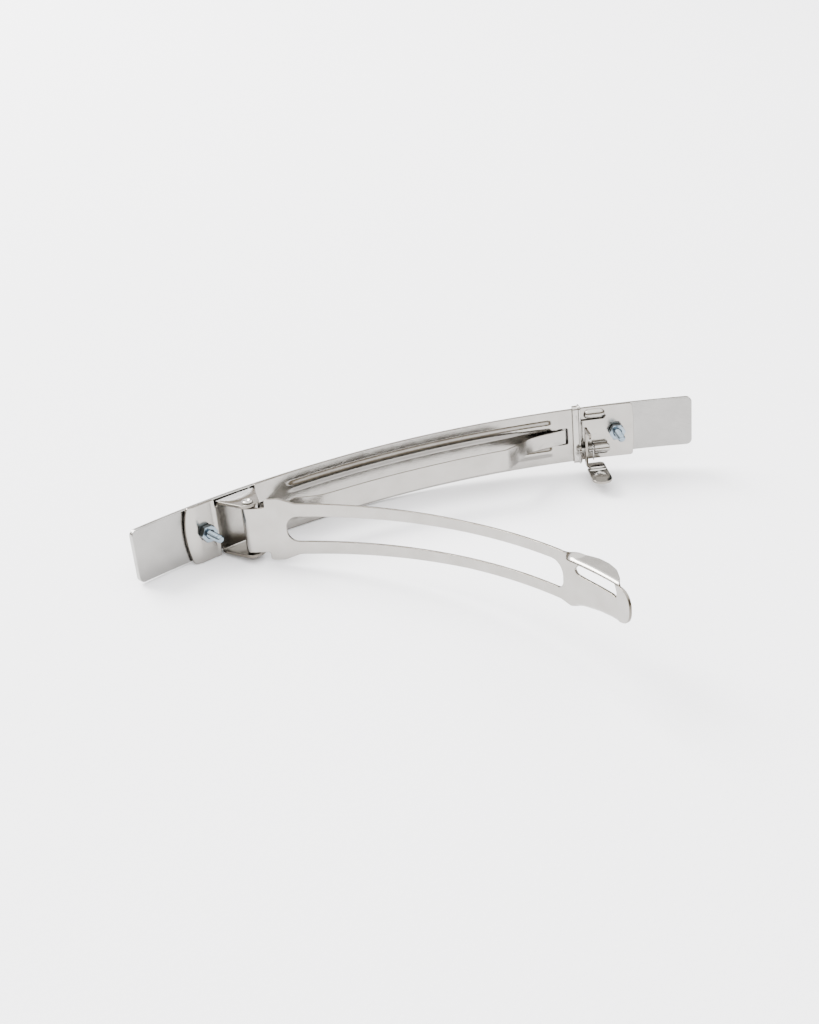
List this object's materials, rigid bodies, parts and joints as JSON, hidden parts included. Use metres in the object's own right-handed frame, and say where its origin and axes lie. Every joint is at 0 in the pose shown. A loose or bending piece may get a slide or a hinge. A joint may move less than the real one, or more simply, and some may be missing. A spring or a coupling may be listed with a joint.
{
  "type": "french-clasp hair barrette",
  "caption": "Curved metal bar barrette with a swinging slotted clamp arm, an arched tension spring and a sprung side release lever.",
  "frame": {"origin": "middle of the cover plate's show face", "axes": "+X along the clip towards the clasp, +Y out of the show face, +Z across the width, away from the finger tab"},
  "size_m": [0.1242, 0.0809, 0.0143],
  "materials": {
    "cover_plate": "satin nickel plate",
    "nickel": "bright nickel plate on stamped spring steel",
    "zinc": "bright zinc plate with a blue cast"
  },
  "bodies": {
    "clip": {"cover_plate": "cover_plate", "left_stud": "zinc", "right_stud": "zinc", "left_nut": "zinc", "right_nut": "zinc", "base_frame": "nickel", "tension_spring": "nickel", "catch_band": "nickel", "lever_pin": "nickel", "lever_spring": "nickel", "hinge_pin": "nickel"},
    "arm": {"clamp_arm": "nickel"},
    "lever": {"release_lever": "nickel"}
  },
  "joints": [
    {"name": "arm_swing", "type": "hinge", "parent": "clip", "child": "arm", "pos_m": [-0.03867, -0.01282, 0], "axis": [0, 0, -1], "range_deg": [-55.2, 40]},
    {"name": "lever_press", "type": "hinge", "parent": "clip", "child": "lever", "pos_m": [0.04011, -0.00866, -0.0032], "axis": [-0.9582, 0.2861, 0], "range_deg": [0, 10], "stiffness_Nm_per_rad": 0.02, "springref_deg": -9.74}
  ]
}
